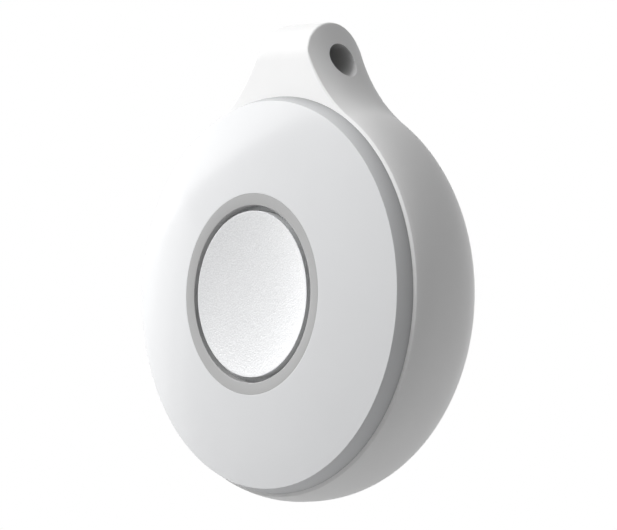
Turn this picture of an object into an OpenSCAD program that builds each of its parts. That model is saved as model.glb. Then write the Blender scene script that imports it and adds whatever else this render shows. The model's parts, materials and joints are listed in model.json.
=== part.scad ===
// Wearable wireless panic button: a round pendant with a lanyard lug, a domed front
// cover, a sprung push button in a light ring, and a coin cell behind a turn-lock cap.
// Millimetres. The lanyard bore's centre is the origin, the lug points up (+Z) and the
// button faces -Y.

/* [Housing] */
// Largest diameter of the barrel-shaped drum
body_d = 43; // [41:0.1:47]
// Height of the front rim over the lug's middle plane
front_h = 4; // [3.6:0.05:4.4]
// Depth of the back face under the lug's middle plane
back_h = 7.6; // [7.4:0.05:8.2]
// Height of the widest place over the lug's middle plane
belly_h = 0.5; // [0:0.05:1]
// Radius of the wall's curve from the belly to the rim
front_arc_r = 13.3; // [11:0.1:20]
// Radius of the wall's curve from the belly to the back
back_arc_r = 10.4; // [10:0.1:13]
// Radius of the rounded rim edge
rim_round = 0.4; // [0.2:0.05:0.6]
// Radius of the rounded back edge
back_round = 0.8; // [0.4:0.1:1.2]
// Wall between the belly and the electronics bay
wall_t = 2.8; // [2.6:0.05:3]
// Thickness of the floor behind the bay
floor_t = 1.6; // [1.4:0.05:1.8]

/* [Lanyard lug] */
// Height of the lanyard bore over the top of the drum
lug_neck = 2.95; // [2.6:0.05:4]
// Thickness of the lug, and the diameter of its rounded top
lug_t = 8; // [7.2:0.1:8]
// Width of the lug's front face at its very top
lug_tip_w = 4.86; // [4:0.1:6.5]
// Lean of the lug's flanks from upright, in degrees
lug_lean = 23.2; // [18:0.2:26]
// Radius of the concave blend from the lug into the drum
lug_blend_r = 16; // [13:0.5:20]
// Extra fullness of the lug's flanks half way through its thickness
lug_bulge = 0.36; // [0:0.02:0.6]
// Diameter of the lanyard bore
bore_d = 3.5; // [2.5:0.1:4]

/* [Front cover] */
// How far the domed face's sharp edge lies inside the drum's belly
edge_step = 1.5; // [1.3:0.05:1.7]
// How far the side band widens from that edge to its foot
band_flare = 0.576; // [0:0.02:0.6]
// Height of the side band
band_h = 1.68; // [1.4:0.05:2]
// Rise of the dome over its edge
dome_rise = 2.24; // [2:0.05:2.6]
// Wall thickness of the ring that plugs into the housing
spigot_t = 1.2; // [1:0.05:1.4]

/* [Button and ring] */
// Diameter of the push button
button_d = 17.14; // [15:0.1:17.4]
// Radial gap between the button and the light ring
button_gap = 0.56; // [0.4:0.02:0.7]
// Visible width of the light ring
ring_w = 1.21; // [1:0.05:1.4]
// Depth of the button's edge under the dome's surface
button_sink = 0.29; // [0.1:0.01:0.5]
// Depth of the button's dished face
dish_depth = 0.95; // [0.2:0.05:1.1]
// Travel of the button
travel = 0.4; // [0.2:0.05:0.45]

/* [Board and switch] */
// Gap between the circuit board's edge and the bay's wall
board_clear = 0.7; // [0.5:0.05:0.8]
// Thickness of the circuit board
board_t = 1; // [0.8:0.1:1.2]
// Height of the board's back face over the lug's middle plane
board_low = -0.4; // [-0.5:0.05:-0.3]
// Side of the push switch's square body
switch_w = 6.2; // [6:0.1:6.4]
// Height of the push switch from the board to the top of its plunger
switch_h = 2.5; // [2.3:0.05:2.6]
// Distance of the board screws inside the cover's spigot
screw_inset = 2.6; // [2.2:0.05:2.8]

/* [Coin cell and cap] */
// Diameter of the coin cell
cell_d = 20; // [19.8:0.1:20]
// Thickness of the coin cell
cell_h = 3.2; // [3:0.1:3.2]
// Width of the battery cap's flange outside its plug
cap_flange = 2.8; // [2.6:0.05:3]
// Turn from locked to free, in degrees
cap_turn = 40; // [36:1:44]
// Length of the coin slot across the cap
slot_len = 10.4; // [8:0.2:14]

/* [Hidden] */
$fn = 96;
body_r = body_d / 2;
bay_r = body_r - wall_t;
edge_r = body_r - edge_step;
lug_rise = body_r + lug_neck;
foot_r = edge_r + band_flare;
edge_z = front_h + band_h;
crown_z = edge_z + dome_rise;
dome_r = (edge_r * edge_r + dome_rise * dome_rise) / (2 * dome_rise);
button_r = button_d / 2;
ring_in = button_r + button_gap;
ring_out = ring_in + ring_w;

// Arcs of the drum's wall, and the rounds tangent to them
front_arc_x = body_r - front_arc_r;
back_arc_x = body_r - back_arc_r;
rim_fx = front_arc_x + sqrt(pow(front_arc_r - rim_round, 2) - pow(front_h - rim_round - belly_h, 2));
rim_tan_z = belly_h + (front_h - rim_round - belly_h) * front_arc_r / (front_arc_r - rim_round);
back_fz = -back_h + back_round;
back_fx = back_arc_x + sqrt(pow(back_arc_r - back_round, 2) - pow(back_fz - belly_h, 2));
back_tan_z = belly_h + (back_fz - belly_h) * back_arc_r / (back_arc_r - back_round);
function drum_r(z) = z >= belly_h
    ? front_arc_x + sqrt(pow(front_arc_r, 2) - pow(z - belly_h, 2))
    : back_arc_x + sqrt(pow(back_arc_r, 2) - pow(z - belly_h, 2));
rim_r = drum_r(front_h);

// Outline of the lug in the rim's plane: flank, blend arc, rim circle
half_t = lug_t / 2;
lug_top = lug_rise + half_t;
flank_n = [cos(lug_lean), sin(lug_lean)];
flank_d = [sin(lug_lean), -cos(lug_lean)];
tip = [lug_tip_w / 2, lug_top];
swing = tip + flank_n * lug_blend_r;
run = -(swing * flank_d) - sqrt(pow(swing * flank_d, 2) - swing * swing + pow(rim_r + lug_blend_r, 2));
blend_c = swing + flank_d * run;
blend_from = atan2(-blend_c[1], -blend_c[0]) + 360;
blend_to = 180 + lug_lean;
blend_steps = 12;

// Stack of levels through the product, from the back to the front
board_top = board_low + board_t;
cell_gap = 1;
cell_top = board_low - cell_gap;
cell_low = cell_top - cell_h;
plunger_top = board_top + switch_h;
hub_t = travel + 0.4;
stem_low = plunger_top + hub_t;
ring_z = crown_z - dome_r + sqrt(dome_r * dome_r - ring_out * ring_out);
ring_in_z = ring_z - 0.07;
button_z = ring_z + 0.19 - button_sink;
ring_lip_z = ring_z - 0.95;
ring_recess_r = ring_in + ring_w / 2;
stop_top = ring_lip_z - 0.3;
flange_top = ring_z - 1.62;
flange_low = flange_top - 0.8;
cover_under = front_h + 1;
spigot_low = board_top + 0.3;
spigot_out = bay_r - 0.3;
spigot_in = spigot_out - spigot_t;
board_r = bay_r - board_clear;
gasket_step_r = bay_r + 0.85;
gasket_h = 0.95;
fit = 0.03;

// Battery bay
pocket_r = cell_d / 2 + 0.3;
collar_r = pocket_r + 1.4;
plug_low = cell_low - 0.1;
tab_t = 0.6;
ledge_top = plug_low - tab_t - 0.1;
groove_top = plug_low + 0.25;
low_bay_r = bay_r - 1.9;
low_bay_w = 1.5;
hub_r = low_bay_r - low_bay_w;
cap_wall = 1.6;
cap_r = hub_r - cap_wall;
cap_clear = 0.2;
plug_r = cap_r - cap_flange;
plug_clear = 0.1;
tab_r = plug_r + 0.85;
groove_r = tab_r + 0.25;
sink_z = -back_h + 1.1;
flange_in_z = sink_z - 0.25;
seal_d = 0.68;
seal_r = cap_r - 0.47 - seal_d / 2;
seal_groove = 0.45;
hub_top = cell_low + 1.3;
low_bay_top = -3.4;
tab_w = 24;
tab_count = 3;

// Fasteners, light posts and snaps
screw_r = 0.8;
screw_clear = 0.05;
screw_head_r = 1.5;
screw_len = 4.6;
screw_ring_r = spigot_in - screw_inset;
screw_at = [30, 150, 270];
light_at = [90, 210, 330];
light_r = spigot_in - 3.2;
snap_at = [45, 135, 225, 315];
snap_z = 1.9;

// Parts on the board
radio_w = 5;
radio_h = 0.85;
crystal_size = [3.2, 2.5, 0.7];
passive_len = 1.6;
passive_w = 0.8;
passive_pitch = 1.7;
antenna_r = spigot_in - 1.2;
antenna_h = 2.7;
strip_t = 0.18;

white = [0.93, 0.93, 0.94];
soft_white = [0.90, 0.91, 0.92];
light_grey = [0.70, 0.70, 0.70];
rubber_grey = [0.45, 0.46, 0.47];
black = [0.12, 0.12, 0.13];
steel = [0.75, 0.76, 0.78];
gold = [0.83, 0.68, 0.32];
board_green = [0.10, 0.36, 0.22];

// Everything is drawn face up round the drum's axis, then stood up on its edge
module place() {
    translate([0, 0, -lug_rise]) rotate([90, 0, 0]) children();
}

module tube(r_out, r_in, low, high) {
    translate([0, 0, low]) difference() {
        cylinder(r = r_out, h = high - low);
        translate([0, 0, -1]) cylinder(r = r_in, h = high - low + 2);
    }
}

module disc(r, low, high) {
    translate([0, 0, low]) cylinder(r = r, h = high - low);
}

module block(x0, x1, y0, y1, z0, z1) {
    translate([x0, y0, z0]) cube([x1 - x0, y1 - y0, z1 - z0]);
}

module around(angles) {
    for (a = angles) rotate([0, 0, a]) children();
}

// Profile drawn in x and z, spun over part of a turn about z, centred on the x axis
module sector(span) {
    rotate([0, 0, -span / 2]) rotate_extrude(angle = span) children();
}

// Bent strip: outline in x and z, of a width along y
module strip(points, width) {
    rotate([90, 0, 0]) translate([0, 0, -width / 2]) linear_extrude(width) polygon(points);
}

// Barrel-shaped drum
module drum_profile() {
    intersection() {
        translate([front_arc_x, belly_h]) circle(r = front_arc_r);
        translate([0, belly_h]) square([body_r + 1, rim_tan_z - belly_h]);
    }
    intersection() {
        translate([back_arc_x, belly_h]) circle(r = back_arc_r);
        translate([0, back_tan_z]) square([body_r + 1, belly_h - back_tan_z]);
    }
    translate([rim_fx, front_h - rim_round]) circle(r = rim_round);
    translate([back_fx, back_fz]) circle(r = back_round);
    translate([0, -back_h]) square([back_fx, back_h]);
    translate([0, -back_round]) square([rim_fx, front_h + back_round]);
}

// Lug skin: the outline grows and shrinks with the barrel as it goes through the thickness
function edge_inset(z) = abs(z) <= half_t - rim_round ? 0
    : rim_round - sqrt(max(0, pow(rim_round, 2) - pow(abs(z) - half_t + rim_round, 2)));
function lug_off(z, s) = drum_r(z) - rim_r + s * lug_bulge * (1 - pow(z / half_t, 2)) - edge_inset(z);
function ease(t) = t * t * (3 - 2 * t);
function blend_point(z, i) =
    let (t = i / blend_steps, a = blend_from + (blend_to - blend_from) * t)
    blend_c + (lug_blend_r - lug_off(z, ease(t))) * [cos(a), sin(a)];
function root_point(z) =
    let (p = blend_c * rim_r / (rim_r + lug_blend_r))
    p * (1 + (lug_off(z, 0) - 0.1) / rim_r);
function peak_point(z) = tip + flank_n * lug_off(z, 1) - flank_d * 1.2;
function lug_side(z) = concat([root_point(z)],
    [for (i = [1 : blend_steps]) blend_point(z, i)], [peak_point(z)]);
function flip(points) = [for (i = [len(points) - 1 : -1 : 0]) [-points[i][0], points[i][1]]];
function lug_ring(z) = concat(lug_side(z), flip(lug_side(z)));
function lug_levels() = concat([-half_t - 0.3],
    [for (i = [-1 : 0.5 : -0.5]) i * rim_round * 0.4 - half_t + rim_round * 0.55],
    [for (i = [-5 : 5]) i * (half_t - rim_round) / 5],
    [for (i = [0.5 : 0.5 : 1]) i * rim_round * 0.4 + half_t - rim_round * 0.55],
    [half_t + 0.3]);

module lug_skin() {
    levels = lug_levels();
    n = len(lug_ring(0));
    m = len(levels);
    function clip_z(z) = min(half_t, max(-half_t, z));
    points = [for (z = levels) for (p = lug_ring(clip_z(z)))
        [p[0] * (abs(z) > half_t ? 0.96 : 1), p[1], z]];
    sides = [for (k = [0 : m - 2]) for (i = [0 : n - 1])
        [k * n + i, (k + 1) * n + i, (k + 1) * n + (i + 1) % n, k * n + (i + 1) % n]];
    bottom = [for (i = [0 : n - 1]) i];
    top = [for (i = [n - 1 : -1 : 0]) (m - 1) * n + i];
    polyhedron(points = points, faces = concat(sides, [bottom, top]), convexity = 4);
}

// Side view of the lug: parallel faces with a half-round top
module lug_side_view() {
    rotate([90, 0, 90]) translate([0, 0, -body_r]) linear_extrude(2 * body_r) {
        translate([lug_rise, 0]) circle(d = lug_t);
        translate([0, -half_t]) square([lug_rise, lug_t]);
    }
}

module bay_profile() {
    polygon([[hub_r, -back_h + floor_t], [low_bay_r, -back_h + floor_t], [low_bay_r, low_bay_top],
        [bay_r, low_bay_top], [bay_r, front_h - gasket_h], [gasket_step_r, front_h - gasket_h],
        [gasket_step_r, front_h + 1], [0, front_h + 1], [0, board_low], [collar_r, board_low],
        [collar_r, hub_top], [hub_r, hub_top]]);
}

module battery_bay_profile() {
    polygon([[0, -back_h - 1], [cap_r + cap_clear, -back_h - 1], [cap_r + cap_clear, sink_z],
        [seal_r + seal_d / 2 + 0.06, sink_z], [seal_r + seal_d / 2 + 0.06, sink_z + seal_groove],
        [seal_r - seal_d / 2 - 0.06, sink_z + seal_groove], [seal_r - seal_d / 2 - 0.06, sink_z],
        [plug_r + plug_clear, sink_z], [plug_r + plug_clear, ledge_top], [groove_r, ledge_top],
        [groove_r, groove_top], [pocket_r, groove_top], [pocket_r, board_low + 1],
        [0, board_low + 1]]);
}

module housing_shell() {
    difference() {
        union() {
            rotate_extrude() drum_profile();
            intersection() {
                lug_skin();
                lug_side_view();
            }
        }
        rotate_extrude() bay_profile();
        rotate_extrude() battery_bay_profile();
        // Lanyard bore
        translate([0, lug_rise, 0]) rotate([0, 90, 0])
            translate([0, 0, -body_r]) cylinder(d = bore_d, h = body_d);
        // Entries for the cap's tabs
        around([for (i = [0 : tab_count - 1]) i * 360 / tab_count - cap_turn])
            sector(tab_w + 6) translate([plug_r - 1, sink_z - 0.5])
                square([groove_r - 0.1 - plug_r + 1, ledge_top - sink_z + 0.8]);
        // Windows for the cover's snaps
        around(snap_at) sector(20) translate([bay_r - 1, snap_z - 0.5]) square([1.5, 1]);
        // Recess for the positive contact
        block(-collar_r - 1.9, -pocket_r + 0.6, -2.8, 2.8, hub_top - 0.8, board_low + 0.1);
    }
}

// Board bosses, ribs and locating keys, held inside the bay's walls
module bay_ribs() {
    difference() {
        intersection() {
            union() {
                around(screw_at) translate([screw_ring_r, 0, 0]) disc(2.2, -back_h, board_low);
                around([30 : 60 : 330])
                    block(collar_r - 0.4, body_r, -0.5, 0.5, -back_h, board_low - 0.5);
                around([0, 180]) block(bay_r - 1.2, body_r, -0.9, 0.9, low_bay_top, board_top);
            }
            union() {
                tube(low_bay_r + 0.3, collar_r - 0.2, -back_h + floor_t - 0.3, board_top);
                tube(bay_r + 0.3, collar_r - 0.2, low_bay_top - 0.3, board_top);
            }
        }
        tube(hub_r - 0.2, 1, -back_h - 1, hub_top - 0.2);
    }
}

module rear_housing() {
    color(white) place() difference() {
        union() {
            housing_shell();
            bay_ribs();
        }
        // Pilot holes for the board screws
        around(screw_at) translate([screw_ring_r, 0, 0])
            disc(screw_r + screw_clear, board_low - screw_len - 0.3, board_low + 1);
    }
}

module cover_profile() {
    lean = band_flare / band_h;
    intersection() {
        translate([0, crown_z - dome_r]) circle(r = dome_r, $fn = 360);
        polygon([[ring_out + fit, flange_top], [ring_out + 2.51, flange_top],
            [ring_out + 2.51, cover_under], [spigot_in, cover_under], [spigot_in, spigot_low],
            [spigot_out, spigot_low], [spigot_out, front_h], [foot_r, front_h],
            [foot_r - lean * 6, front_h + 6], [ring_out + fit, front_h + 6]]);
    }
}

module front_cover() {
    color(soft_white) place() {
        difference() {
            rotate_extrude() cover_profile();
            // Slits that free the snap fingers
            around(snap_at) for (s = [-1, 1]) rotate([0, 0, s * 11])
                block(spigot_in - 1, spigot_out + 0.1, -0.4, 0.4, spigot_low - 1, front_h - 0.1);
        }
        around(snap_at) sector(16)
            polygon([[spigot_out - 0.1, snap_z - 0.4], [spigot_out + 0.5, snap_z + 0.05],
                [spigot_out + 0.5, snap_z + 0.2], [spigot_out - 0.1, snap_z + 0.35]]);
        // Stiffening ribs between the ring's pocket and the spigot
        around([for (a = screw_at, s = [-14, 14]) a + s])
            block(ring_out + 3, spigot_in + 0.3, -0.4, 0.4, cover_under - 0.8, cover_under + 0.2);
    }
}

module light_ring() {
    color(light_grey) place() {
        rotate_extrude()
            polygon([[ring_recess_r, flange_low], [ring_out + 2.46, flange_low],
                [ring_out + 2.46, flange_top], [ring_out, flange_top], [ring_out, ring_z],
                [ring_in, ring_in_z], [ring_in, ring_lip_z], [ring_recess_r, ring_lip_z]]);
        // Ears with the posts that carry light up from the board
        around(light_at) {
            block(ring_out + 1.95, light_r + 0.9, -1.5, 1.5, cover_under - 0.8, min(cover_under, flange_top));
            block(ring_out + 1.95, ring_out + 2.4, -1.5, 1.5, cover_under - 0.8, flange_low + 0.2);
            translate([light_r, 0, 0]) disc(0.8, board_top + 0.9, cover_under - 0.5);
        }
    }
}

module button_cap() {
    lip = 0.3;
    dish_r = (pow(button_r - lip, 2) + pow(dish_depth, 2)) / (2 * dish_depth);
    skirt_in = button_r - 1.1;
    roof = button_z - dish_depth - 1;
    stop_r = ring_recess_r - 0.3;
    stop_t = 0.55;
    color(soft_white) place() {
        // Dished cap with the stop flange that keeps it behind the ring's lip
        rotate_extrude() difference() {
            polygon([[0, stem_low], [2, stem_low], [2, roof], [skirt_in, roof], [skirt_in, stem_low + 0.05],
                [button_r, stem_low + 0.05], [button_r, stop_top - stop_t], [stop_r, stop_top - stop_t],
                [stop_r, stop_top], [button_r, stop_top], [button_r, button_z - 0.2],
                [button_r - 0.06, button_z - 0.06], [button_r - 0.2, button_z], [0, button_z]]);
            translate([0, button_z - dish_depth + dish_r]) circle(r = dish_r, $fn = 360);
        }
        around([0 : 60 : 300]) block(1.5, skirt_in + 0.3, -0.4, 0.4, roof - 1, roof + 0.1);
    }
}

module button_membrane() {
    sheet = 0.35;
    wall_in = ring_in + 1.07;
    color(rubber_grey) place() rotate_extrude()
        polygon([[0, plunger_top], [wall_in + 0.4, plunger_top], [wall_in + 0.4, flange_low - 0.4],
            [ring_out + 1.76, flange_low - 0.4], [ring_out + 1.76, flange_low], [wall_in, flange_low],
            [wall_in, plunger_top + sheet], [2.6, plunger_top + sheet], [2.2, plunger_top + hub_t],
            [0, plunger_top + hub_t]]);
}

module cover_gasket() {
    cord = gasket_h - 0.03;
    color(black) place() rotate_extrude()
        translate([spigot_out + 0.04 + cord / 2, front_h - gasket_h / 2]) circle(d = cord);
}

module circuit_board() {
    color(board_green) place() difference() {
        disc(board_r, board_low, board_top);
        around(screw_at) translate([screw_ring_r, 0, 0])
            disc(screw_r + 0.15, board_low - 1, board_top + 1);
        around([0, 180]) block(bay_r - 1.5, bay_r + 1, -1.2, 1.2, board_low - 1, board_top + 1);
    }
}

module switch_body() {
    w = switch_w / 2;
    color(black) place() difference() {
        translate([0, 0, board_top]) linear_extrude(switch_h - 0.9)
            polygon([[w, -w + 0.6], [w, w - 0.6], [w - 0.6, w], [-w + 0.6, w], [-w, w - 0.6],
                [-w, -w + 0.6], [-w + 0.6, -w], [w - 0.6, -w]]);
        disc(2.15, board_top + 0.5, board_top + switch_h);
    }
}

module switch_frame() {
    w = switch_w / 2;
    top = board_top + switch_h - 0.7;
    color(steel) place() {
        difference() {
            block(-w, w, -w + 0.3, w - 0.3, top - 0.2, top);
            disc(1.7, top - 1, top + 1);
        }
        around([0, 180]) block(w, w + 0.2, -1.2, 1.2, board_top + 0.4, top);
        around([0, 180]) block(w - 0.1, w + 0.2, -1.2, 1.2, top - 0.2, top);
    }
}

module switch_terminals() {
    w = switch_w / 2;
    color(steel) place() for (a = [0, 180], y = [-2.1, 2.1]) rotate([0, 0, a]) translate([0, y, 0])
        strip([[w, board_top], [w + 1.5, board_top], [w + 1.5, board_top + 0.15], [w + 0.15, board_top + 0.15],
            [w + 0.15, board_top + 0.7], [w, board_top + 0.7]], 0.7);
}

module switch_plunger() {
    low = plunger_top - 1.35;
    color(white) place() {
        disc(2, low, low + 0.35);
        disc(1.55, low, plunger_top);
    }
}

module snap_dome() {
    peak_z = plunger_top - 1.37;
    base_z = peak_z - travel - 0.2;
    span = 1.95;
    r = (span * span + pow(peak_z - base_z, 2)) / (2 * (peak_z - base_z));
    color(steel) place() rotate_extrude() intersection() {
        difference() {
            translate([0, peak_z - r]) circle(r = r, $fn = 180);
            translate([0, peak_z - r]) circle(r = r - 0.1, $fn = 180);
        }
        translate([0, base_z]) square([span, peak_z - base_z + 0.1]);
    }
}

module radio_chip() {
    w = radio_w / 2;
    color(black) place() translate([-0.455 * board_r, 0.08 * board_r, board_top]) difference() {
        block(-w, w, -w, w, 0, radio_h);
        translate([-0.7 * w, 0.7 * w, radio_h - 0.1]) cylinder(r = 0.12 * w, h = 1);
    }
}

module crystal() {
    x = crystal_size[0] / 2;
    y = crystal_size[1] / 2;
    color(steel) place() translate([-0.42 * board_r, -0.233 * board_r, board_top]) {
        block(-x, x, -y, y, 0, crystal_size[2] * 0.64);
        block(-x + 0.2, x - 0.2, -y + 0.2, y - 0.2, crystal_size[2] * 0.57, crystal_size[2]);
    }
}

// Chip part with metallised ends that stand a little proud of its middle
module chip(len, wide, high) {
    block(-len / 2, -len / 2 + 0.3, -wide / 2, wide / 2, 0, high);
    block(len / 2 - 0.3, len / 2, -wide / 2, wide / 2, 0, high);
    block(-len / 2 + 0.1, len / 2 - 0.1, -wide / 2 + 0.04, wide / 2 - 0.04, 0, high - 0.04);
}

module chip_capacitors() {
    color([0.62, 0.52, 0.40]) place() for (i = [0, 1], j = [0 : 3])
        translate([0.367 * board_r + i * (passive_len + 1), (j - 2) * passive_pitch, board_top])
            chip(passive_len, passive_w, passive_w);
}

module chip_resistors() {
    color([0.18, 0.18, 0.20]) place() for (i = [-1 : 1], j = [0, 1])
        translate([i * (passive_len + 1), -0.41 * board_r - j * passive_pitch, board_top])
            chip(passive_len, passive_w, passive_w * 0.56);
}

module antenna() {
    color(gold) place() rotate([0, 0, 90]) {
        sector(80) translate([antenna_r, board_top + 0.6]) square([0.35, antenna_h]);
        for (s = [-1, 1]) rotate([0, 0, s * 36]) sector(6) translate([antenna_r, board_top])
            polygon([[-0.7, 0], [0.3, 0], [0.3, 0.8], [0.05, 0.8], [0.05, 0.2], [-0.7, 0.2]]);
    }
}

module status_leds() {
    color([0.95, 0.93, 0.80]) place() around(light_at) translate([light_r, 0, board_top]) {
        block(-0.4, 0.4, -0.8, 0.8, 0, 0.3);
        block(-0.35, 0.35, -0.5, 0.5, 0.25, 0.6);
    }
}

module board_screws() {
    color(steel) place() around(screw_at) translate([screw_ring_r, 0, 0]) difference() {
        union() {
            disc(screw_r, board_top - board_t - screw_len, board_top + 0.3);
            disc(screw_head_r, board_top, board_top + 0.9);
        }
        for (a = [0, 90]) rotate([0, 0, a])
            block(-0.9, 0.9, -0.18, 0.18, board_top + 0.4, board_top + 2);
    }
}

module coin_cell() {
    r = cell_d / 2;
    color(steel) place() rotate_extrude()
        polygon([[0, cell_low], [r - 0.5, cell_low], [r - 0.15, cell_low + 0.15], [r, cell_low + 0.5],
            [r, cell_top - 0.5], [r - 0.3, cell_top - 0.25], [r - 0.9, cell_top - 0.25],
            [r - 0.9, cell_top - 0.35], [r - 1.1, cell_top - 0.35], [r - 1.25, cell_top], [0, cell_top]]);
}

module positive_contact() {
    x = -cell_d / 2 - 0.05;
    color(gold) place() strip([[x, cell_low + 0.9], [x, board_low], [x - 2.6, board_low],
        [x - 2.6, board_low - 0.2], [x - 0.2, board_low - 0.2], [x - 0.2, cell_low + 0.9]], 4.4);
}

module negative_contact() {
    t = 0.18;
    touch = cell_top + 0.01;
    color(gold) place() strip([[8, board_low], [8, board_low - t], [3.02, board_low - t], [-1.5, touch],
        [-2.5, touch], [-3.6, touch + 0.27], [-3.6, touch + 0.27 + t], [-2.45, touch + t],
        [-1.55, touch + t], [2.98, board_low]], 3);
}

module battery_cap() {
    out_z = -back_h + 0.1;
    coin_r = 12;
    depth = coin_r - sqrt(coin_r * coin_r - slot_len * slot_len / 4);
    color(white) place() {
        difference() {
            rotate_extrude()
                polygon([[0, out_z], [cap_r - 0.3, out_z], [cap_r, out_z + 0.3], [cap_r, flange_in_z],
                    [plug_r, flange_in_z], [plug_r, plug_low], [8.6, plug_low], [8.6, plug_low - 0.7],
                    [0, plug_low - 0.7]]);
            // Coin slot with the coin's own curve for its floor
            translate([0, 0, out_z + depth - coin_r]) rotate([90, 0, 0])
                translate([0, 0, -1]) cylinder(r = coin_r, h = 2);
        }
        // Bayonet tabs
        around([for (i = [0 : tab_count - 1]) i * 360 / tab_count]) sector(tab_w)
            translate([plug_r - 0.5, plug_low - tab_t - 0.02]) square([tab_r - plug_r + 0.5, tab_t]);
    }
}

module cap_seal() {
    color(black) place() rotate_extrude()
        translate([seal_r, sink_z + seal_groove - seal_d / 2 - 0.01]) circle(d = seal_d);
}

rear_housing();
front_cover();
light_ring();
button_cap();
button_membrane();
cover_gasket();
circuit_board();
switch_body();
switch_frame();
switch_terminals();
switch_plunger();
snap_dome();
radio_chip();
crystal();
chip_capacitors();
chip_resistors();
antenna();
status_leds();
board_screws();
coin_cell();
positive_contact();
negative_contact();
battery_cap();
cap_seal();
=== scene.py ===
import json
import math

import bmesh
import bpy
import numpy as np
from mathutils import Matrix, Vector


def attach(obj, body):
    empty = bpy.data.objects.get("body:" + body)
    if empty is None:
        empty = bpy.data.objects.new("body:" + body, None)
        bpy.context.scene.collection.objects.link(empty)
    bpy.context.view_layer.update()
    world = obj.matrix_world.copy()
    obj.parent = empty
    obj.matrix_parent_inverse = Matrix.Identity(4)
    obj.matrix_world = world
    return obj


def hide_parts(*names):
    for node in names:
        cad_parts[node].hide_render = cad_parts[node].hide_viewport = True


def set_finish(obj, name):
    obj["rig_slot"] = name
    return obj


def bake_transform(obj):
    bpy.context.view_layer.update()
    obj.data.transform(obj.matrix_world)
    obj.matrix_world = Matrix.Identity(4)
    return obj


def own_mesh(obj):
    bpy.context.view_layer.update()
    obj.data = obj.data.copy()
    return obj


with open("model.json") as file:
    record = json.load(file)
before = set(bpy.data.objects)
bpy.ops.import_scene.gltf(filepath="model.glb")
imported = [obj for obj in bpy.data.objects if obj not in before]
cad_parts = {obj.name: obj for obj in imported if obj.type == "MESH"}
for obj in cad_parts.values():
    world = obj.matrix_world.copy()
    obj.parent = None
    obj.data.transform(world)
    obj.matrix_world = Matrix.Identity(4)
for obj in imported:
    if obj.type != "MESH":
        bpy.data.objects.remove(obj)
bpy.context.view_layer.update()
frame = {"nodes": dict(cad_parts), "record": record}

# Sizes in millimetres, named as in the solid model
BODY_R = 21.5
FRONT_H, BACK_H, BELLY_H = 4.0, 7.6, 0.5
BACK_ROUND = 0.8
LUG_RISE, LUG_T, LUG_TIP_W = 24.45, 8.0, 4.86
LUG_LEAN, LUG_BLEND, LUG_BULGE = 23.2, 16.0, 0.36
BORE_R = 1.75
EDGE_R, FLARE, BAND_H, DOME_RISE = 20.0, 0.576, 1.68, 2.24
BUTTON_R, GAP, RING_W, DISH = 8.57, 0.56, 1.21, 0.95
SINK, BUTTON_UP = 0.29, 0.19
BOARD_LOW, BOARD_TOP = -0.4, 0.6
PLUNGER_TOP, HUB_T = 3.1, 0.8
BAY_R, LOW_BAY_R, LOW_BAY_TOP = 18.7, 16.8, -3.4
GASKET_H, GASKET_STEP_R = 0.95, BAY_R + 0.85
FLOOR_Z, HUB_R, HUB_TOP, COLLAR_R = -6.0, 15.3, -3.3, 11.7
POCKET_R, GROOVE_R, GROOVE_TOP, LEDGE_TOP = 10.3, 12.0, -4.45, -5.4
CAP_R, PLUG_R, SINK_Z = 13.7, 10.9, -BACK_H + 1.1
SEAL_R, SEAL_D, SEAL_GROOVE, SEAL_SEAT = 12.89, 0.68, 0.45, 0.4
SPIGOT_GAP, SPIGOT_T = 0.3, 1.2
FIT = 0.015
# Levels below the ring's face, and thicknesses, of what lies under it
FLANGE_DEEP, FLANGE_T, LIP_T = 1.62, 0.8, 0.95
STOP_GAP, STOP_T = 0.3, 0.55
# Reach beyond the ring's outside of the cover's pocket, the ring's flange and the membrane
POCKET_W, FLANGE_W, MEMBRANE_W = 2.51, 2.46, 1.76
SNAP_DEEP, SNAP_RISE = 1.37, 0.6

# Sizes that only this model has
# The side band bulges a little, and the cover's foot meets the rim's land in a shallow line
BAND_CROWN = 0.08
PARTING = 0.03
FOOT_IN, FOOT_W, FOOT_CLEAR = 0.01, 0.04, 0.004
LAND_IN, LAND_CLEAR, LAND_W = 0.03, 0.006, 0.05
# The lug's back edge rounds off from this lean of its skin, in degrees, on this radius
BEND_LEAN, BEND_R, BEND_SHARE = 68, 0.38, 0.6
# The front rim turns in with a crisp corner on a strip of this depth, narrower on the lug
STRIP, STRIP_CUT, STRIP_POWER, STRIP_LOST = 0.17, 2.4, 1.3, 0.5
# The barrel falls in from its belly by these amounts, as powers of the height
FRONT_DROP, FRONT_POWER = 0.67, 2.3
BACK_DROP, BACK_SPAN, BACK_POWER = 0.65, 4, 2.62
# On the lug it falls in by this share less, which sets in quickly from the root
LUG_EASE, EASE_POWER = 0.29, 0.4

EDGE_Z = FRONT_H + BAND_H
CROWN_Z = EDGE_Z + DOME_RISE
FOOT_R = EDGE_R + FLARE - FOOT_IN
DOME_R = (EDGE_R ** 2 + DOME_RISE ** 2) / (2 * DOME_RISE)
RING_IN = BUTTON_R + GAP
RING_OUT = RING_IN + RING_W
SPIGOT_OUT = BAY_R - SPIGOT_GAP
SPIGOT_IN = SPIGOT_OUT - SPIGOT_T
SPIGOT_LOW = BOARD_TOP + 0.3
COVER_UNDER = FRONT_H + 1


def dome_z(r):
    return CROWN_Z - DOME_R + math.sqrt(DOME_R ** 2 - r * r)


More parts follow.
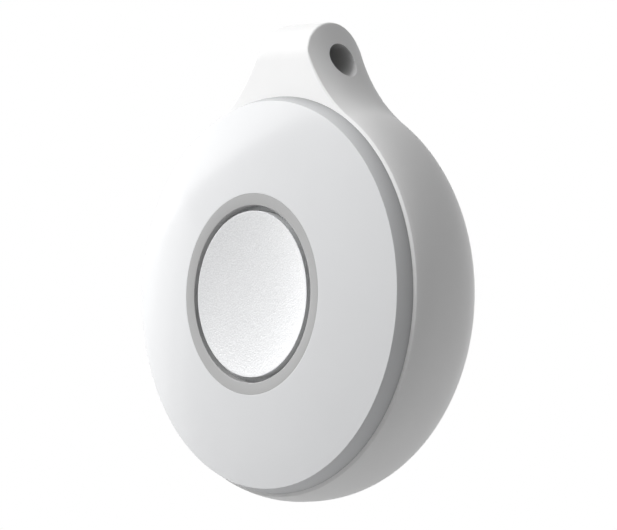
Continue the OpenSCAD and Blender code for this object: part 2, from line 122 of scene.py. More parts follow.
RING_Z = dome_z(RING_OUT)
BUTTON_Z = RING_Z + BUTTON_UP - SINK
FLANGE_TOP = RING_Z - FLANGE_DEEP
FLANGE_LOW = FLANGE_TOP - FLANGE_T
STEM_LOW = PLUNGER_TOP + HUB_T
LIP_UNDER = RING_Z - LIP_T
RECESS_R = RING_IN + RING_W / 2
STOP_TOP = LIP_UNDER - STOP_GAP
STOP_LOW = STOP_TOP - STOP_T
STOP_R = RECESS_R - STOP_GAP
SNAP_TOP = PLUNGER_TOP - SNAP_DEEP

# Creases sharper than this are shaded as edges
SHARP = math.radians(32)


def stand(p):
    """A point drawn face up round the drum's axis in mm, stood up in the row frame in metres."""
    x, y, z = p
    return Vector((x, -z, y - LUG_RISE)) / 1000


def add(name, data):
    obj = bpy.data.objects.new(name, data)
    bpy.context.scene.collection.objects.link(obj)
    return obj


def add_mesh(name, bm):
    me = bpy.data.meshes.new(name)
    bm.to_mesh(me)
    bm.free()
    return add(name, me)


def finish_mesh(name, bm, weighted=True):
    bmesh.ops.remove_doubles(bm, verts=bm.verts, dist=2e-7)
    bmesh.ops.dissolve_degenerate(bm, edges=bm.edges, dist=1e-7)
    bmesh.ops.recalc_face_normals(bm, faces=bm.faces)
    obj = add_mesh(name, bm)
    shade(obj, weighted)
    return obj


def shade(obj, weighted):
    """Smooth shading with sharp creases, and normals weighted by area where that is wanted."""
    bm = bmesh.new()
    bm.from_mesh(obj.data)
    for f in bm.faces:
        f.smooth = True
    for e in bm.edges:
        e.smooth = not (len(e.link_faces) == 2 and e.calc_face_angle(0) > SHARP)
    bm.to_mesh(obj.data)
    bm.free()
    if weighted:
        m = obj.modifiers.new("Weighted", "WEIGHTED_NORMAL")
        m.mode = "FACE_AREA"
        m.weight = 80
        m.keep_sharp = True


def rounded(corners, steps=6):
    """Closed outline from (r, z, radius) corners, with an arc at each that has a radius."""
    out = []
    n = len(corners)
    for i in range(n):
        p = np.array(corners[i][:2], float)
        rad = corners[i][2] if len(corners[i]) > 2 else 0
        a = np.array(corners[i - 1][:2], float) - p
        b = np.array(corners[(i + 1) % n][:2], float) - p
        la, lb = np.linalg.norm(a), np.linalg.norm(b)
        if rad <= 0 or la < 1e-9 or lb < 1e-9:
            out.append(tuple(p))
            continue
        a, b = a / la, b / lb
        half = math.acos(max(-1, min(1, float(a @ b)))) / 2
        cut = min(rad / math.tan(half), 0.49 * la, 0.49 * lb)
        rad = cut * math.tan(half)
        centre = p + (a + b) / np.linalg.norm(a + b) * rad / math.sin(half)
        u, v = p + a * cut - centre, p + b * cut - centre
        cosine = float(u @ v) / (np.linalg.norm(u) * np.linalg.norm(v))
        turn = math.acos(max(-1, min(1, cosine)))
        for k in range(steps + 1):
            t = k / steps
            w = (math.sin((1 - t) * turn) * u + math.sin(t * turn) * v) / math.sin(turn)
            out.append(tuple(centre + w))
    return out


def circle(r, n):
    return [(r * math.cos(2 * math.pi * i / n), r * math.sin(2 * math.pi * i / n))
            for i in range(n)]


def arc(r, a0, a1, n=16):
    """Points on a circle from one angle to another, in degrees."""
    angles = [math.radians(a0 + (a1 - a0) * i / n) for i in range(n + 1)]
    return [(r * math.cos(a), r * math.sin(a)) for a in angles]


def turned(x, y, deg):
    a = math.radians(deg)
    return x * math.cos(a) - y * math.sin(a), x * math.sin(a) + y * math.cos(a)


def level(points, z):
    return [(x, y, z) for x, y in points]


def bridge(bm, rings):
    """Faces from each ring of vertices to the next, and from the last ring to the first."""
    for k, a in enumerate(rings):
        b = rings[(k + 1) % len(rings)]
        for i in range(len(a)):
            j = (i + 1) % len(a)
            quad = []
            for v in (a[i], a[j], b[j], b[i]):
                if v not in quad:
                    quad.append(v)
            if len(quad) > 2:
                bm.faces.new(quad)


def spin(bm, profile, n=288, at=(0, 0)):
    """Closed profile of (r, z) spun about the drum's axis, or about a line parallel to it."""
    rings = []
    for r, z in profile:
        if r < 1e-6:
            rings.append([bm.verts.new(stand((at[0], at[1], z)))] * n)
        else:
            rings.append([bm.verts.new(stand((at[0] + x, at[1] + y, z))) for x, y in circle(r, n)])
    bridge(bm, rings)


def revolved(name, profile, n=288):
    bm = bmesh.new()
    spin(bm, profile, n)
    return finish_mesh(name, bm)


def extrude(bm, low, high):
    """Closed solid between two flat outlines whose points match one for one."""
    low = [bm.verts.new(stand(p)) for p in low]
    high = [bm.verts.new(stand(p)) for p in high]
    n = len(low)
    for i in range(n):
        bm.faces.new((low[i], low[(i + 1) % n], high[(i + 1) % n], high[i]))
    bm.faces.new(low[::-1])
    bm.faces.new(high)


def prism(bm, outline, z0, z1):
    extrude(bm, level(outline, z0), level(outline, z1))


def bar(bm, x0, x1, y0, y1, z0, z1, deg=0.0, edge=0.0):
    """Upright block, turned about the drum's axis, with bevelled upright edges."""
    e = min(edge, (x1 - x0) / 3, (y1 - y0) / 3)
    if e > 0:
        pts = [(x0 + e, y0), (x1 - e, y0), (x1, y0 + e), (x1, y1 - e),
               (x1 - e, y1), (x0 + e, y1), (x0, y1 - e), (x0, y0 + e)]
    else:
        pts = [(x0, y0), (x1, y0), (x1, y1), (x0, y1)]
    prism(bm, [turned(x, y, deg) for x, y in pts], z0, z1)


def scratch(build):
    """A tool for carve, filled in by the given function."""
    bm = bmesh.new()
    build(bm)
    bmesh.ops.recalc_face_normals(bm, faces=bm.faces)
    return add_mesh("scratch", bm)


def carve(obj, tool, how="DIFFERENCE", soft=False):
    weighted = obj.modifiers.get("Weighted")
    if weighted:
        obj.modifiers.remove(weighted)
    m = obj.modifiers.new("carve", "BOOLEAN")
    m.operation = how
    m.solver = "EXACT"
    m.object = tool
    bpy.context.view_layer.update()
    shaped = obj.evaluated_get(bpy.context.evaluated_depsgraph_get())
    done = bpy.data.meshes.new_from_object(shaped)
    obj.modifiers.remove(m)
    obj.data = done
    bpy.data.objects.remove(tool)
    shade(obj, weighted=not soft)


# Rear housing: one skin that runs round the drum and over the lug
def drum_r(z, ease=0.0):
    """Radius of the barrel: nearly straight at the belly, turning in faster further off."""
    if z >= BELLY_H:
        rise = (z - BELLY_H) / (FRONT_H - BELLY_H)
        return BODY_R - (1 - ease) * FRONT_DROP * rise ** FRONT_POWER
    return BODY_R - (1 - ease) * BACK_DROP * ((BELLY_H - z) / BACK_SPAN) ** BACK_POWER


# The lug's flanks run into this circle
LUG_BASE = drum_r(FRONT_H, LUG_EASE)
HALF_T = LUG_T / 2
lean = math.radians(LUG_LEAN)
FLANK_N = np.array([math.cos(lean), math.sin(lean)])
FLANK_D = np.array([math.sin(lean), -math.cos(lean)])
TIP = np.array([LUG_TIP_W / 2, LUG_RISE + HALF_T])
swing = TIP + FLANK_N * LUG_BLEND
run = -(swing @ FLANK_D) - math.sqrt((swing @ FLANK_D) ** 2 - swing @ swing
                                     + (LUG_BASE + LUG_BLEND) ** 2)
BLEND_C = swing + FLANK_D * run
BLEND_FROM = math.atan2(-BLEND_C[1], -BLEND_C[0]) + 2 * math.pi
BLEND_TO = math.pi + lean
ROOT_ANGLE = math.atan2(BLEND_C[1], BLEND_C[0])

# Points round each level of the housing, the same number at every level
N_DRUM, N_FLANK, N_CORNER, N_TOP = 260, 40, 7, 8
N_LUG = N_FLANK + N_CORNER - 1 + N_TOP - 1
DRUM_SPAN = 2 * math.pi - (math.pi - 2 * ROOT_ANGLE)
DRUM_ANGLES = [ROOT_ANGLE - DRUM_SPAN * i / N_DRUM for i in range(1, N_DRUM)]
# The corners of the lug's top are rounded off over this length
CORNER_CUT = 0.35 * 0.66
# Steps of the blend and of the flank above it, which runs on past the top by this much
BLEND_STEPS, FLANK_STEPS, PAST_TOP = 60, 20, 1.5


def edge_inset(z, s=0.0):
    """How far the skin is cut in at a level, on the drum (s = 0) or on the lug (s = 1).

    In front it is cut by the strip, and behind by the rounding of the lug's back edge.
    """
    if z > 0:
        depth = STRIP * (1 - STRIP_LOST * s) - (HALF_T - z)
        return STRIP_CUT * max(0.0, depth) ** STRIP_POWER
    rise = BEND_R * math.sin(math.radians(BEND_LEAN)) - (HALF_T + z)
    return (BEND_R - math.sqrt(BEND_R ** 2 - max(0.0, rise) ** 2)) * BEND_SHARE * s


def skin_r(z):
    """Radius of the drum's skin at a level, with its front strip."""
    r = drum_r(z)
    return r - edge_inset(z) if z > 0 else r


def lug_off(z, s):
    """How far the lug's flank stands off its middle line at a level."""
    full = LUG_BULGE * (1 - (z / HALF_T) ** 2)
    return drum_r(z, LUG_EASE * s ** EASE_POWER) - LUG_BASE + s * full - edge_inset(z, s)


def lug_flank(z, shrink=0.0):
    """Dense flank of the lug at a level, from the drum up past the top."""
    pts = []
    for i in range(BLEND_STEPS + 1):
        t = i / BLEND_STEPS
        a = BLEND_FROM + (BLEND_TO - BLEND_FROM) * t
        s = t * t * (3 - 2 * t)
        out = np.array([math.cos(a), math.sin(a)])
        pts.append(BLEND_C + (LUG_BLEND - lug_off(z, s) + shrink) * out)
    top = TIP + FLANK_N * (lug_off(z, 1) - shrink) - FLANK_D * PAST_TOP
    last = pts[-1]
    pts += [last + (top - last) * k / FLANK_STEPS for k in range(1, FLANK_STEPS + 1)]
    return np.array(pts)


def lengths(pts):
    """How far along a line each of its points lies."""
    return np.concatenate([[0], np.cumsum(np.linalg.norm(np.diff(pts, axis=0), axis=1))])


def along(pts, count):
    """The same line in evenly spaced points."""
    d = lengths(pts)
    t = np.linspace(0, d[-1], count)
    return np.c_[np.interp(t, d, pts[:, 0]), np.interp(t, d, pts[:, 1])]


def lug_half(z, shrink=0.0):
    """Right side of the lug's outline at a level, from the drum to the middle of its top."""
    top = LUG_RISE + math.sqrt(max(0.0, HALF_T ** 2 - z * z)) - 2 * shrink
    pts = lug_flank(z, shrink)
    k = int(np.argmax(pts[:, 1] >= top))
    t = (top - pts[k - 1, 1]) / (pts[k, 1] - pts[k - 1, 1])
    corner = pts[k - 1] + (pts[k] - pts[k - 1]) * t
    side = np.vstack([pts[:k], corner])
    d = lengths(side)
    stop = d[-1] - CORNER_CUT
    a = np.array([np.interp(stop, d, side[:, 0]), np.interp(stop, d, side[:, 1])])
    b = corner - np.array([CORNER_CUT, 0])
    side = along(np.vstack([side[d < stop], a]), N_FLANK)
    bend = [(1 - u) ** 2 * a + 2 * u * (1 - u) * corner + u * u * b
            for u in np.linspace(0, 1, N_CORNER)[1:]]
    flat = [b + (np.array([0, top]) - b) * u for u in np.linspace(0, 1, N_TOP)[1:]]
    return np.vstack([side, bend, flat])


def ring_points(z, shrink=0.0):
    """Outline of the drum and the lug at a level."""
    r = skin_r(z) - shrink
    half = lug_half(z, shrink)
    return ([(r * math.cos(a), r * math.sin(a)) for a in DRUM_ANGLES]
            + [(-x, y) for x, y in half] + [(x, y) for x, y in half[::-1][1:]])


def circle_points(r):
    """A circle whose points match ring_points one for one."""
    gap = math.pi - 2 * ROOT_ANGLE
    angles = DRUM_ANGLES + [math.pi - ROOT_ANGLE - gap * i / (2 * N_LUG - 2)
                            for i in range(2 * N_LUG - 1)]
    return [(r * math.cos(a), r * math.sin(a)) for a in angles]


def housing():
    # Levels of the front strip, of the belly and of the lug's rounded back edge
    levels = [HALF_T - STRIP + STRIP * (1 - k / 14) ** 2 for k in range(15)]
    levels += [HALF_T * math.sin(math.radians(d)) for d in range(59, -60, -6)]
    full = math.sin(math.radians(BEND_LEAN))
    levels += [-(HALF_T - BEND_R * (full - math.sin(math.radians(d))))
               for d in np.linspace(BEND_LEAN, 0, 12)[::-1]]
    rings = [level(ring_points(HALF_T, LAND_W), HALF_T)]
    rings += [level(ring_points(z), z) for z in levels]
    # Drum behind the lug, rounded into the back face: the rounding touches the barrel at tan_z
    back_fz = -BACK_H + BACK_ROUND
    tan_z = back_fz
    for _ in range(30):
        fall = (drum_r(tan_z + 0.001) - drum_r(tan_z - 0.001)) / 0.002
        tan_z = back_fz - BACK_ROUND * fall / math.hypot(1, fall)
    back_fx = drum_r(tan_z) - BACK_ROUND / math.hypot(1, fall)
    outline = [(drum_r(z), z) for z in np.linspace(-HALF_T, tan_z, 18)]
    a0 = math.atan2(tan_z - back_fz, drum_r(tan_z) - back_fx)
    outline += [(back_fx + BACK_ROUND * math.cos(t), back_fz + BACK_ROUND * math.sin(t))
                for t in np.linspace(a0, -math.pi / 2, 8)[1:]]
    # Back face and the recess that the battery cap sinks into
    outline += [(back_fx - 0.3, -BACK_H), (CAP_R + 0.5, -BACK_H), (CAP_R + 0.32, -BACK_H),
                (CAP_R + 0.24, -BACK_H + 0.04), (CAP_R + 0.2, -BACK_H + 0.12),
                (CAP_R + 0.2, -BACK_H + 0.2), (CAP_R + 0.2, SINK_Z)]
    # Groove of the cap's seal
    outline += [(SEAL_R + SEAL_SEAT, SINK_Z), (SEAL_R + SEAL_SEAT, SINK_Z + SEAL_GROOVE),
                (SEAL_R - SEAL_SEAT, SINK_Z + SEAL_GROOVE), (SEAL_R - SEAL_SEAT, SINK_Z)]
    # Hole for the cap's plug, groove for its tabs, and the cell's pocket
    outline += [(PLUG_R + 0.1, SINK_Z), (PLUG_R + 0.1, LEDGE_TOP), (GROOVE_R, LEDGE_TOP),
                (GROOVE_R, GROOVE_TOP), (POCKET_R, GROOVE_TOP), (POCKET_R, BOARD_LOW)]
    # Collar, hub and the bay behind the board
    outline += [(COLLAR_R, BOARD_LOW), (COLLAR_R, HUB_TOP), (HUB_R, HUB_TOP), (HUB_R, FLOOR_Z),
                (LOW_BAY_R, FLOOR_Z), (LOW_BAY_R, LOW_BAY_TOP), (BAY_R, LOW_BAY_TOP)]
    # Gasket step, and the land that the cover's foot stands on
    outline += [(BAY_R, FRONT_H - GASKET_H), (GASKET_STEP_R, FRONT_H - GASKET_H),
                (GASKET_STEP_R, FRONT_H - PARTING), (FOOT_R - LAND_IN, FRONT_H - PARTING),
                (FOOT_R - LAND_IN, FRONT_H - LAND_CLEAR)]
    rings += [level(circle_points(r), z) for r, z in outline]
    bm = bmesh.new()
    bridge(bm, [[bm.verts.new(stand(p)) for p in ring] for ring in rings])
    obj = finish_mesh("rear_housing_skin", bm, weighted=False)

    def bore(bm):
        ring, half_length = circle(BORE_R, 128), 12
        extrude(bm, *([(x, LUG_RISE + y, z) for y, z in ring]
                      for x in (-half_length, half_length)))

    carve(obj, scratch(bore), soft=True)
    return obj


def front_cover():
    dome = [(r, dome_z(r)) for r in np.linspace(RING_OUT + 0.03, EDGE_R, 60)]
    long = math.hypot(FLARE, BAND_H)

    def band(t):
        """Point on the side band, from the dome's edge (t = 0) to the foot (t = 1)."""
        crown = 4 * BAND_CROWN * t * (1 - t)
        return (EDGE_R + (FOOT_R - EDGE_R) * t + crown * BAND_H / long,
                EDGE_Z - BAND_H * t + crown * FLARE / long)

    side = [band(t) for t in np.linspace(0.06, 1, 16)]
    foot = [(FOOT_R, FRONT_H - FOOT_CLEAR), (FOOT_R - FOOT_W, FRONT_H - FOOT_CLEAR),
            (FOOT_R - FOOT_W, FRONT_H - PARTING)]
    spigot = [(SPIGOT_OUT, FRONT_H - PARTING), (SPIGOT_OUT, SPIGOT_LOW), (SPIGOT_IN, SPIGOT_LOW),
              (SPIGOT_IN, COVER_UNDER)]
    pocket = [(RING_OUT + POCKET_W, COVER_UNDER), (RING_OUT + POCKET_W, FLANGE_TOP),
              (RING_OUT + FIT, FLANGE_TOP), (RING_OUT + FIT, RING_Z - 0.2),
              (RING_OUT + FIT, RING_Z - 0.01)]
    return revolved("front_cover_shell", dome + side + foot + spigot + pocket)


def light_ring():
    flange_r = RING_OUT + FLANGE_W
    body = rounded([(RECESS_R, FLANGE_LOW), (flange_r, FLANGE_LOW), (flange_r, FLANGE_TOP),
                    (RING_OUT, FLANGE_TOP), (RING_OUT, RING_Z, 0.015),
                    (RING_IN, RING_Z - 0.07, 0.08), (RING_IN, LIP_UNDER), (RECESS_R, LIP_UNDER)])
    bm = bmesh.new()
    spin(bm, body)
    # Three arms, each with a post over a status LED
    light_r = SPIGOT_IN - 3.2
    arm_from, arm_to, arm_low, half_w = RING_OUT + 1.95, light_r + 0.9, FRONT_H + 0.2, 1.5
    post_r, post_low, post_top = 0.8, BOARD_TOP + 0.9, FRONT_H + 0.5
    post = rounded([(0, post_low), (post_r, post_low, 0.15), (post_r, post_top), (0, post_top)])
    for deg in (90, 210, 330):
        bar(bm, arm_from, arm_to, -half_w, half_w, arm_low, COVER_UNDER, deg, 0.3)
        spin(bm, post, 48, turned(light_r, 0, deg))
    return finish_mesh("light_ring_diffuser", bm)


def button_cap():
    rim, lip, wall, stem_r, clear = 0.03, 0.06, 1.1, 2, 0.05
    dish_r = ((BUTTON_R - lip) ** 2 + DISH ** 2) / (2 * DISH)
    skirt = BUTTON_R - wall
    roof = BUTTON_Z - DISH - 1

    def face(r):
        return BUTTON_Z - DISH + dish_r - math.sqrt(dish_r ** 2 - r * r)

    top = [(r, face(r)) for r in np.linspace(0, BUTTON_R - lip, 46)]
    edge = [(BUTTON_R - rim + rim * math.sin(a), BUTTON_Z - rim + rim * math.cos(a))
            for a in np.linspace(0, math.pi / 2, 8)]
    stop = [(BUTTON_R, BUTTON_Z - 0.4), (BUTTON_R, STOP_TOP), (STOP_R - clear, STOP_TOP),
            (STOP_R, STOP_TOP - clear), (STOP_R, STOP_LOW), (BUTTON_R, STOP_LOW)]
    inside = [(BUTTON_R, STEM_LOW + clear), (skirt, STEM_LOW + clear), (skirt, roof),
              (stem_r, roof), (stem_r, STEM_LOW), (0, STEM_LOW)]
    bm = bmesh.new()
    spin(bm, top + edge + stop + inside)
    # Ribs under the dish
    rib_from, rib_to, half_w = 1.5, skirt + 0.3, 0.4
    for deg in range(0, 360, 60):
        bar(bm, rib_from, rib_to, -half_w, half_w, roof - 1, roof + 0.1, deg)
    return finish_mesh("button_cap_dished", bm)


def battery_cap():
    out_z = -BACK_H + 0.1
    plug_low, plug_in, plug_base, plug_deep = -4.7, 8.6, -6.75, 0.7
    body = rounded([(0, out_z), (CAP_R, out_z, 0.25), (CAP_R, SINK_Z - 0.25, 0.08),
                    (PLUG_R, plug_base), (PLUG_R, plug_low, 0.1), (plug_in, plug_low),
                    (plug_in, plug_low - plug_deep), (0, plug_low - plug_deep)])
    obj = revolved("battery_cap_disc", body)
    # The coin slot is cut by a disc of a coin's radius
    coin_r, half_length, half_w = 12.0, 5.2, 1
    depth = coin_r - math.sqrt(coin_r ** 2 - half_length ** 2)
    coin_z = out_z + depth - coin_r

    def slot(bm):
        ring = circle(coin_r, 360)
        extrude(bm, *([(x, y, coin_z + z) for x, z in ring] for y in (-half_w, half_w)))

    def tabs(bm):
        half_span, tab_low, tab_top = 12.0, plug_low - 0.62, plug_low - 0.02
        for mid in (0, 120, 240):
            outline = (arc(PLUG_R + 0.85, mid - half_span, mid + half_span)
                       + arc(PLUG_R - 0.5, mid + half_span, mid - half_span))
            prism(bm, outline, tab_low, tab_top)

    carve(obj, scratch(slot))
    carve(obj, scratch(tabs), "UNION")
    return obj


def membrane():
    wall = RING_IN + 1.07
    rim_r, rim_low, skin = RING_OUT + MEMBRANE_W, FLANGE_LOW - 0.4, 0.35
    body = rounded([(0, PLUNGER_TOP), (wall + 0.4, PLUNGER_TOP, 0.3), (wall + 0.4, rim_low, 0.1),
                    (rim_r, rim_low, 0.1), (rim_r, FLANGE_LOW), (wall, FLANGE_LOW),
                    (wall, PLUNGER_TOP + skin, 0.3), (2.6, PLUNGER_TOP + skin, 0.1),
                    (2.2, STEM_LOW, 0.1), (0, STEM_LOW)])
    return revolved("button_membrane_sheet", body, 144)


def snap_dome():
    thick, span = 0.1, 1.95
    r = (span ** 2 + SNAP_RISE ** 2) / (2 * SNAP_RISE)
    outer = [(x, SNAP_TOP - r + math.sqrt(r * r - x * x)) for x in np.linspace(0, span, 16)]
    inner = [(x, max(SNAP_TOP - SNAP_RISE, SNAP_TOP - r + math.sqrt((r - thick) ** 2 - x * x)))
             for x in np.linspace(span - 0.14, 0, 16)]
    return revolved("snap_dome_disc", outer + inner, 72)


def ring_seal(name, r, z, cord):
    body = [(r + cord / 2 * math.cos(t), z + cord / 2 * math.sin(t))
            for t in np.linspace(0, 2 * math.pi, 25)[:-1]]
    return revolved(name, body, 192)


def cover_gasket():
    cord = 0.92
    return ring_seal("cover_gasket_cord", SPIGOT_OUT + 0.04 + cord / 2, FRONT_H - GASKET_H / 2,
                     cord)


def cap_seal():
    return ring_seal("cap_seal_cord", SEAL_R, SINK_Z + SEAL_GROOVE - 0.35, SEAL_D)


pieces = {
    "rear_housing": (housing(), "housing", "housing_plastic"),
    "front_cover": (front_cover(), "housing", "cover_plastic"),
    "light_ring": (light_ring(), "housing", "ring_plastic"),
    "button_cap": (button_cap(), "button", "button_plastic"),
    "battery_cap": (battery_cap(), "cap", "housing_plastic"),
    "cover_gasket": (cover_gasket(), "housing", "black_rubber"),
    "cap_seal": (cap_seal(), "housing", "black_rubber"),
}
for node, (obj, body, slot) in pieces.items():
    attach(obj, body)
    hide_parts(node)
    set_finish(obj, slot)

sheet_piece = membrane()
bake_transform(sheet_piece)
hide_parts("button_membrane")
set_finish(sheet_piece, "grey_silicone")

dome_piece = snap_dome()
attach(dome_piece, "housing")
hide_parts("snap_dome")
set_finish(dome_piece, "steel")
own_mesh(dome_piece)


# Shader nodes
def add_node(tree, kind, **values):
    """New shader node with its inputs set by name, where an underscore stands for a space."""
    node = tree.nodes.new("ShaderNode" + kind)
    for name, value in values.items():
        node.inputs[name.replace("_", " ")].default_value = value
    return node


def mapped(tree, value, to, start=(0, 1), clamp=True):
    """A value carried over from one range to another."""
    node = add_node(tree, "MapRange", From_Min=start[0], From_Max=start[1],
                    To_Min=to[0], To_Max=to[1])
    node.clamp = clamp
    tree.links.new(value, node.inputs["Value"])
    return node.outputs["Result"]


def scaled(tree, colour, amount):
    node = add_node(tree, "VectorMath")
    node.operation = "SCALE"
    tree.links.new(colour, node.inputs[0])
    tree.links.new(amount, node.inputs["Scale"])
    return node.outputs["Vector"]


def larger(tree, a, b):
    node = add_node(tree, "Math")
    node.operation = "MAXIMUM"
    tree.links.new(a, node.inputs[0])
    tree.links.new(b, node.inputs[1])
    return node.outputs[0]


def mixed(tree, fac, a, b):
    """Shader a where the factor is 0, b where it is 1."""
    node = add_node(tree, "MixShader")
    tree.links.new(fac, node.inputs["Fac"])
    tree.links.new(a, node.inputs[1])
    tree.links.new(b, node.inputs[2])
    return node.outputs[0]


# Materials
# Roughness varies by this much with the texture, and a pale drift by this share of the colour
ROUGH_SWING, DRIFT = 0.05, 0.015
BUMP_DEPTH = 0.00004
# The side band is satin and the dome glossy; one changes into the other within this height
BAND_IOR, BAND_ROUGH, BAND_FADE = 1.2, 0.55, 0.0001


def plastic(name, tone, rough, grain=0.06, spec=0.5, ior=1.5, fine_scale=5200, fleck=0.0,
            painted_foot_shade=0.0, painted_shade=0.0, reach=0.003, shut=0.0, deep=1.0):
    """Moulded plastic: slow colour drift, fine spark-eroded texture in bump and roughness.

    fleck: how much the fine texture shows in the colour.
    painted_foot_shade: how much darker the cover's side band is painted towards its foot, as shade
    where it meets the rim.
    painted_shade: how much darker recesses are painted, as shade in the hollows, out to reach,
    between the open shares shut and deep.
    """
    mat = bpy.data.materials.new(name)
    mat.use_nodes = True
    nt = mat.node_tree
    bsdf = nt.nodes["Principled BSDF"]
    where = add_node(nt, "TexCoord").outputs["Object"]
    drift = add_node(nt, "TexNoise", Scale=55, Detail=3)
    fine = add_node(nt, "TexNoise", Scale=fine_scale, Detail=2)
    for noise in (drift, fine):
        nt.links.new(where, noise.inputs["Vector"])
    ramp = add_node(nt, "ValToRGB")
    nt.links.new(drift.outputs["Fac"], ramp.inputs["Fac"])
    tone = np.array(tone, float)
    low, high = ramp.color_ramp.elements
    low.position, high.position = 0.3, 0.7
    low.color = (*(tone * (1 - DRIFT)), 1)
    high.color = (*np.minimum(tone * (1 + DRIFT), 1), 1)
    colour = ramp.outputs["Color"]
    if fleck:
        spark = mapped(nt, fine.outputs["Fac"], (1 - fleck / 2, 1 + fleck / 2), clamp=False)
        colour = scaled(nt, colour, spark)
    # Painted shade: the cover's side band is darkened towards its foot
    if painted_foot_shade:
        split = add_node(nt, "SeparateXYZ")
        nt.links.new(where, split.inputs["Vector"])
        height, edge, foot = split.outputs["Y"], -EDGE_Z / 1000, -FRONT_H / 1000
        colour = scaled(nt, colour, mapped(nt, height, (1, 1 - painted_foot_shade), (edge, foot)))
    # Painted shade: recesses such as the bore and the cover's foot are darkened by ambient
    # occlusion
    if painted_shade:
        near = add_node(nt, "AmbientOcclusion", Distance=reach)
        near.samples = 12
        colour = scaled(nt, colour, mapped(nt, near.outputs["AO"], (1 - painted_shade, 1), (shut, deep)))
    nt.links.new(colour, bsdf.inputs["Base Color"])
    bump = add_node(nt, "Bump", Strength=grain, Distance=BUMP_DEPTH)
    nt.links.new(fine.outputs["Fac"], bump.inputs["Height"])
    nt.links.new(bump.outputs["Normal"], bsdf.inputs["Normal"])
    bsdf.inputs["Specular IOR Level"].default_value = spec
    bsdf.inputs["IOR"].default_value = ior
    if painted_foot_shade:
        for socket, dome, band in (("IOR", ior, BAND_IOR), ("Roughness", rough, BAND_ROUGH)):
            change = mapped(nt, height, (dome, band), (edge, edge + BAND_FADE))
            nt.links.new(change, bsdf.inputs[socket])
    else:
        worn = mapped(nt, fine.outputs["Fac"], (rough - ROUGH_SWING, rough + ROUGH_SWING))
        nt.links.new(worn, bsdf.inputs["Roughness"])
    return mat


def metal(name, tone):
    mat = plastic(name, tone, 0.28, grain=0.05)
    mat.node_tree.nodes["Principled BSDF"].inputs["Metallic"].default_value = 1.0
    return mat


# Colour, roughness and what else differs from the usual
PLASTICS = {
    # The housing and the cover get painted shade in their recesses
    "housing_plastic": ((0.88, 0.88, 0.88), 0.6, dict(grain=0.05, spec=0.3, ior=1.3, painted_shade=0.72,
                                                      reach=0.006, deep=0.4)),
    # The cover's side band is also painted darker towards its foot, as shade
    "cover_plastic": ((0.714, 0.720, 0.730), 0.12, dict(grain=0.0, painted_shade=0.65, reach=0.006,
                                                        shut=0.45, painted_foot_shade=0.11)),
    "button_plastic": ((0.760, 0.766, 0.776), 0.3, dict(grain=0.9, spec=1.0, fine_scale=6000,
                                                        fleck=0.35)),
    "ring_plastic": ((0.405, 0.405, 0.405), 0.42, {}),
    "grey_silicone": ((0.28, 0.28, 0.285), 0.6, {}),
    "black_rubber": ((0.03, 0.03, 0.03), 0.6, {}),
    "board_laminate": ((0.03, 0.17, 0.08), 0.3, {}),
    "black_plastic": ((0.03, 0.03, 0.032), 0.45, {}),
    "white_plastic": ((0.75, 0.75, 0.75), 0.45, {}),
    "capacitor_body": ((0.40, 0.28, 0.17), 0.5, {}),
    "led_resin": ((0.85, 0.82, 0.60), 0.2, {}),
}
METALS = {"steel": (0.58, 0.58, 0.60), "gold_plate": (0.85, 0.63, 0.28)}
MATS = {slot: plastic(slot + "_mat", tone, rough, **more)
        for slot, (tone, rough, more) in PLASTICS.items()}
MATS.update({slot: metal(slot + "_mat", tone) for slot, tone in METALS.items()})

slots = {s["node"]: s["material_slot"] for s in frame["record"]["subparts"]}
dressed = [(obj, slots[node]) for node, obj in frame["nodes"].items()]
dressed += [(obj, slot) for obj, _, slot in pieces.values()]
dressed += [(obj, obj["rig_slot"]) for obj in (sheet_piece, dome_piece)]
for obj, slot in dressed:
    obj.data.materials.clear()
    obj.data.materials.append(MATS[slot])


def toward(az, el):
    """Direction at an azimuth from the front and an elevation, in degrees."""
    a, e = math.radians(az), math.radians(el)
    return Vector((math.sin(a) * math.cos(e), -math.cos(a) * math.cos(e), math.sin(e)))


# Camera, fitted to the photograph's ellipses in units of the face's edge radius
ROLL = math.radians(1.77)
DISTANCE, SHIFT = 12.90, Vector((0.35, 0, 0.155))
IMAGE_W, FOCAL, SENSOR = 617, 2550, 36
back = toward(48.08, -0.75)
right = (-back).cross(Vector((0, 0, 1))).normalized()
up = right.cross(-back)
image_right = math.cos(ROLL) * right + math.sin(ROLL) * up
image_up = -math.sin(ROLL) * right + math.cos(ROLL) * up
face = Vector((0, -EDGE_Z / 1000, -LUG_RISE / 1000))
eye = face + (back * DISTANCE + SHIFT) * (EDGE_R / 1000)
cam = add("camera", bpy.data.cameras.new("camera"))
turn = Matrix((image_right, image_up, back)).transposed().to_4x4()
cam.matrix_world = Matrix.Translation(eye) @ turn
cam.data.lens = SENSOR * FOCAL / IMAGE_W
cam.data.sensor_width = SENSOR
cam.data.clip_start = 0.01
bpy.context.scene.camera = cam

# Floor, paler to the camera than in the light it throws back; it is clear from below
FLOOR_R, FLOOR_DROP = 0.30, 0.14
THROWN, SHOWN = 0.6, 0.92
bm = bmesh.new()
bmesh.ops.create_circle(bm, cap_ends=True, radius=FLOOR_R, segments=96)
floor = add_mesh("floor", bm)
floor.location = (0, 0, -FLOOR_DROP)
floor_mat = bpy.data.materials.new("floor_mat")
floor_mat.use_nodes = True
tree = floor_mat.node_tree
bsdf = tree.nodes["Principled BSDF"]
bsdf.inputs["Roughness"].default_value = 0.9
shown = tree.nodes.new("ShaderNodeMix")
shown.data_type = "RGBA"
shown.inputs["A"].default_value = (THROWN, THROWN, THROWN, 1)
shown.inputs["B"].default_value = (SHOWN, SHOWN, SHOWN, 1)
tree.links.new(add_node(tree, "LightPath").outputs["Is Camera Ray"], shown.inputs["Factor"])
tree.links.new(shown.outputs["Result"], bsdf.inputs["Base Color"])
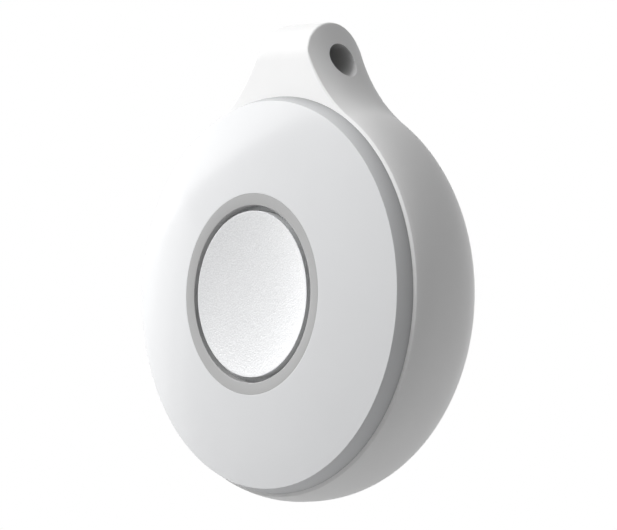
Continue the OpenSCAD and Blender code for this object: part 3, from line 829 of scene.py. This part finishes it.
seen = mixed(tree, add_node(tree, "NewGeometry").outputs["Backfacing"], bsdf.outputs["BSDF"],
             add_node(tree, "BsdfTransparent").outputs["BSDF"])
tree.links.new(seen, tree.nodes["Material Output"].inputs["Surface"])
floor.data.materials.append(floor_mat)

# World, white to the camera and in reflections, and otherwise a faint light
FAINT, WHITE = 0.05, 1.0
world = bpy.data.worlds.new("world")
bpy.context.scene.world = world
world.use_nodes = True
tree = world.node_tree
tree.nodes.clear()
soft, white = (add_node(tree, "Background", Color=(1, 1, 1, 1), Strength=strength)
               for strength in (FAINT, WHITE))
path = add_node(tree, "LightPath").outputs
gloss = larger(tree, path["Is Glossy Ray"], path["Is Transmission Ray"])
seen = mixed(tree, larger(tree, path["Is Camera Ray"], gloss), soft.outputs[0], white.outputs[0])
tree.links.new(seen, add_node(tree, "OutputWorld").inputs["Surface"])

# Lamps, all at one distance from the drum's middle and turned towards it
CENTRE = Vector((0, 0, -LUG_RISE / 1000))
FAR = 0.8


def lamp(name, shape, energy, out, rot, size, size_y=None):
    data = bpy.data.lights.new(name, "AREA")
    data.shape = shape
    data.size = size
    if size_y:
        data.size_y = size_y
    data.energy = energy
    obj = add(name, data)
    obj.matrix_world = Matrix.Translation(CENTRE + out * FAR) @ rot.to_4x4()
    obj.visible_camera = False


def disc(name, az, el, size, energy):
    out = toward(az, el)
    lamp(name, "DISK", energy, out, out.to_track_quat("Z", "Y").to_matrix(), size)


def panel(name, p0, p1, low, high, energy):
    """Rectangular soft box over the edge from p0 to p1, between two angles from that edge."""
    over = p0.cross(p1).normalized()
    mid = (p0 + p1).normalized()
    half_w = math.acos(max(-1, min(1, p0 @ p1))) / 2
    half_h = math.radians(high - low) / 2
    tilt = math.radians((high + low) / 2)
    out = mid * math.cos(tilt) + over * math.sin(tilt)
    rise = over * math.cos(tilt) - mid * math.sin(tilt)
    rot = Matrix((rise.cross(out), rise, out)).transposed()
    lamp(name, "RECTANGLE", energy, out, rot,
         2 * FAR * math.tan(half_w), 2 * FAR * math.tan(half_h))


# The big soft box's lower edge lies on a great circle, whose pole this is
ABOVE = toward(-66, 9.9).cross(toward(-45, 20.7)).normalized()


def on_edge(az):
    """Direction of the soft box's lower edge at an azimuth."""
    a = math.radians(az)
    h = Vector((math.sin(a), -math.cos(a), 0))
    return (h - Vector((0, 0, 1)) * (h @ ABOVE) / ABOVE.z).normalized()


# The left soft box's side edge, which fades over a few degrees
LEFT_EDGE = toward(-79.5, -24), toward(-67.6, 9)
# Azimuth, elevation, diameter, power
DISCS = [(150, 18, 0.7, 1.3), (120, 18, 0.7, 0.2), (95, 18, 0.7, 0.5), (215, 30, 1.0, 0.3),
         (238, 10, 1.0, 0.6), (214, 0, 1.0, 2.0)]
# Ends of the edge, angles above it, power
PANELS = [(on_edge(-80), on_edge(-40), 0, 25, 1.5), (on_edge(-40), on_edge(0), 0, 12, 3.22),
          (on_edge(-40), on_edge(-10), 0, 25, 2.57), (on_edge(-10), on_edge(20), 0, 25, 0.72)]
PANELS += [(*LEFT_EDGE, low, 25, 0.33) for low in (-8, -3, 2)]
for n, spec in enumerate(DISCS):
    disc("disc_%d" % n, *spec)
for n, spec in enumerate(PANELS):
    panel("panel_%d" % n, *spec)

bpy.context.scene.view_settings.view_transform = "Standard"
